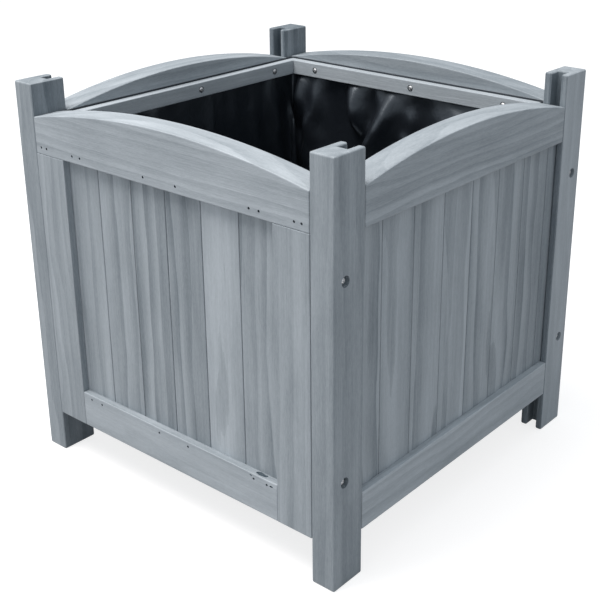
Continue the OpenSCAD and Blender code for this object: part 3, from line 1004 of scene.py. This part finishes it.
def linerBag():  # an open box of film, just inside the walls, with its seeds of folds
    reach = size["filmOut"] - 0.00035
    foot = size["filmFoot"] + liner["bagGap"]
    form = bmesh.new()
    addBlock(form, (-reach, -reach, foot), (reach, reach, size["filmTop"]))
    top = [f for f in form.faces if f.normal.z > 0.5]
    bmesh.ops.delete(form, geom=top, context="FACES_ONLY")
    bmesh.ops.subdivide_edges(form, edges=form.edges, cuts=liner["cells"] - 1, use_grid_fill=True)
    chance = random.Random("liner")
    waves = [(chance.uniform(2, 9), chance.uniform(0, 6.3), chance.uniform(0.3, 1)) for _ in range(14)]
    folds = {name: liner.get(name + "Folds") or randomFolds(name) for name, _ in walls}
    for vertex in form.verts:
        start = vertex.co.copy()
        if start.z > size["battenFoot"] or start.z < foot + 1e-4:
            continue
        hang = min(1, (size["battenFoot"] - start.z) / liner["hangOver"])
        around = math.atan2(start.y, start.x)
        slackCorner = start.x > 0 and start.y > 0
        rounding = liner["slackCornerRound" if slackCorner else "cornerRound"]
        push = sum(strength * math.sin(n * 4 * around + phase) for n, phase, strength in waves) / len(waves)
        for name, turn in walls:
            seen = turned(-turn) @ start
            if seen.y > -reach + 1e-5:
                continue
            depth = hang * liner["pleat"] * (1 + push) + foldDepth(seen.x, seen.z, folds[name])
            radius, corner = rounding * hang, reach - abs(seen.x)
            aside = 0
            if corner < radius:  # the bag doesn't reach into the corners
                angle = math.pi / 4 * (1 + corner / radius)
                aside = math.copysign(corner - radius * (1 - math.cos(angle)), seen.x)
                depth = max(depth * corner / radius, radius * (1 - math.sin(angle)))
            vertex.co += turned(turn) @ Vector((aside, min(depth, liner["mostDepth"]), 0))
            if corner < 1e-5:
                break
    for x in liner["drainPlaces"]:
        for y in liner["drainPlaces"]:
            near = min((v for v in form.verts if v.co.z < foot + 1e-4),
                       key=lambda v: (v.co.x - x) ** 2 + (v.co.y - y) ** 2)
            made = bmesh.ops.bevel(form, geom=[near], offset=liner["drainRadius"], segments=2,
                                   profile=0.5, affect="VERTICES")
            bmesh.ops.delete(form, geom=made["faces"], context="FACES")
    return newPiece("liner_bag", form)


def colliders():
    wide, out = 0.3, size["filmOut"] + liner["clear"]
    foot, top = size["filmFoot"] - liner["clear"], size["postTop"]
    made = [flatPiece("wallCollider", [turned(turn) @ Vector((x, -out, z)) for x, z in
                                       ((-wide, foot - 0.1), (wide, foot - 0.1), (wide, top), (-wide, top))])
            for _, turn in walls]
    made.append(flatPiece("floorCollider", [(x, y, foot) for x, y in
                                            ((-wide, -wide), (wide, -wide), (wide, wide), (-wide, wide))]))
    for item in made:
        item.modifiers.new("collision", "COLLISION")
        item.collision.thickness_outer = 0.0005
    return made


def simulateFilm(film):  # the battens hold the top, and the rest hangs with a little slack
    held = film.vertex_groups.new(name="held")
    held.add([v.index for v in film.data.vertices if v.co.z > size["battenFoot"] - 0.002], 1, "REPLACE")
    step = film.modifiers.new("cloth", "CLOTH")
    for name, value in liner["cloth"].items():
        setattr(step.settings, name, value)
    step.settings.shrink_min = -liner["slack"]
    step.settings.vertex_group_mass = "held"
    step.collision_settings.distance_min = 0.001
    step.collision_settings.collision_quality = 2
    step.collision_settings.use_self_collision = False
    items = colliders()
    for number in range(1, liner["frames"] + 1):
        bpy.context.scene.frame_set(number)
    applied(film)
    for item in items:
        removeObject(item)
    bpy.context.scene.frame_set(1)


def makeLiner():
    film = linerBag()
    simulateFilm(film)
    film.vertex_groups.clear()
    edge, foot = size["filmOut"] - liner["thick"] / 2, size["filmFoot"] + liner["thick"] / 2
    for vertex in film.data.vertices:  # the bag stays in the space of its solid
        vertex.co.x = max(-edge, min(edge, vertex.co.x))
        vertex.co.y = max(-edge, min(edge, vertex.co.y))
        vertex.co.z = max(foot, min(size["filmTop"], vertex.co.z))
    smoother = film.modifiers.new("smoother", "SUBSURF")
    smoother.levels = smoother.render_levels = 1
    thickness = film.modifiers.new("thickness", "SOLIDIFY")
    thickness.thickness = liner["thick"]
    thickness.offset = 0
    applied(film)
    film.data.polygons.foreach_set("use_smooth", [True] * len(film.data.polygons))
    finish(film, ["liner"], linerFilm)
    print("liner made")


makeLiner()


stage = {
    "floorSize": 12.0, "floorColour": (0.36, 0.36, 0.365, 1), "shadowGrey": 0.78,
    "skyColour": (0.935, 0.985, 1.035, 1), "skyStrength": 0.615,
    "keyColour": (1.04, 0.985, 0.945), "keyPower": 126.0, "keySize": 1.8, "keyPlace": (-0.7, -0.95, 3.2),
}


def makeFloor():
    half = stage["floorSize"] / 2
    floor = flatPiece("floor", [(-half, -half, 0), (half, -half, 0), (half, half, 0), (-half, half, 0)])
    material, tree, shader = newMaterial("paleFloor")
    feed(tree, shader.inputs, {
        "Base Color": stage["floorColour"], "Roughness": 0.9, "Specular IOR Level": 0.0})
    glow = addNode(tree, "ShaderNodeEmission", {"Color": (1, 1, 1, 1), "Strength": stage["shadowGrey"]})
    path = addNode(tree, "ShaderNodeLightPath").outputs
    seen = calc(tree, "MAXIMUM", path["Is Camera Ray"], calc(tree, "MULTIPLY", path["Is Glossy Ray"], 0.6))
    dark = addNode(tree, "ShaderNodeEmission", {"Strength": 0.0})
    sheen = addNode(tree, "ShaderNodeMixShader", {0: seen, 1: dark.outputs[0], 2: glow.outputs[0]})
    both = addNode(tree, "ShaderNodeAddShader", {0: shader.outputs[0], 1: sheen.outputs[0]})
    tree.links.new(both.outputs[0], tree.nodes["Material Output"].inputs["Surface"])
    floor.data.materials.append(material)


def makeLights():
    world = bpy.data.worlds.new("studio")
    world.use_nodes = True
    bpy.context.scene.world = world
    tree = world.node_tree
    soft = tree.nodes["Background"]
    feed(tree, soft.inputs, {"Color": stage["skyColour"], "Strength": stage["skyStrength"]})
    white = addNode(tree, "ShaderNodeBackground", {"Color": (1, 1, 1, 1), "Strength": 1.0})
    seen = addNode(tree, "ShaderNodeLightPath").outputs["Is Camera Ray"]
    mixed = addNode(tree, "ShaderNodeMixShader", {0: seen, 1: soft.outputs[0], 2: white.outputs[0]})
    tree.links.new(mixed.outputs[0], tree.nodes["World Output"].inputs["Surface"])
    key = bpy.data.lights.new("key", "AREA")
    key.color = stage["keyColour"]
    key.energy = stage["keyPower"]
    key.size = stage["keySize"]
    lamp = bpy.data.objects.new("key", key)
    bpy.context.scene.collection.objects.link(lamp)
    lamp.location = stage["keyPlace"]
    aim = Vector((0, 0, 0.3)) - Vector(stage["keyPlace"])
    lamp.rotation_euler = aim.to_track_quat("-Z", "Y").to_euler()


view = {"place": (0.8943, -1.0302, 0.8060), "turn": 39.22, "down": 21.11, "roll": 0.18,
        "lens": 67.3, "shift": (-0.0672, -0.0977)}


def makeCamera():
    lens = bpy.data.cameras.new("camera")
    lens.sensor_width = 36
    lens.lens = view["lens"]
    lens.shift_x, lens.shift_y = view["shift"]
    camera = bpy.data.objects.new("camera", lens)
    bpy.context.scene.collection.objects.link(camera)
    camera.matrix_world = (Matrix.Translation(view["place"]) @ turned(view["turn"])
                           @ Matrix.Rotation(math.radians(90 - view["down"]), 4, "X") @ turned(view["roll"]))
    bpy.context.scene.camera = camera


makeFloor()
makeLights()
makeCamera()
bpy.context.scene.view_settings.view_transform = "Standard"
print("scene complete")
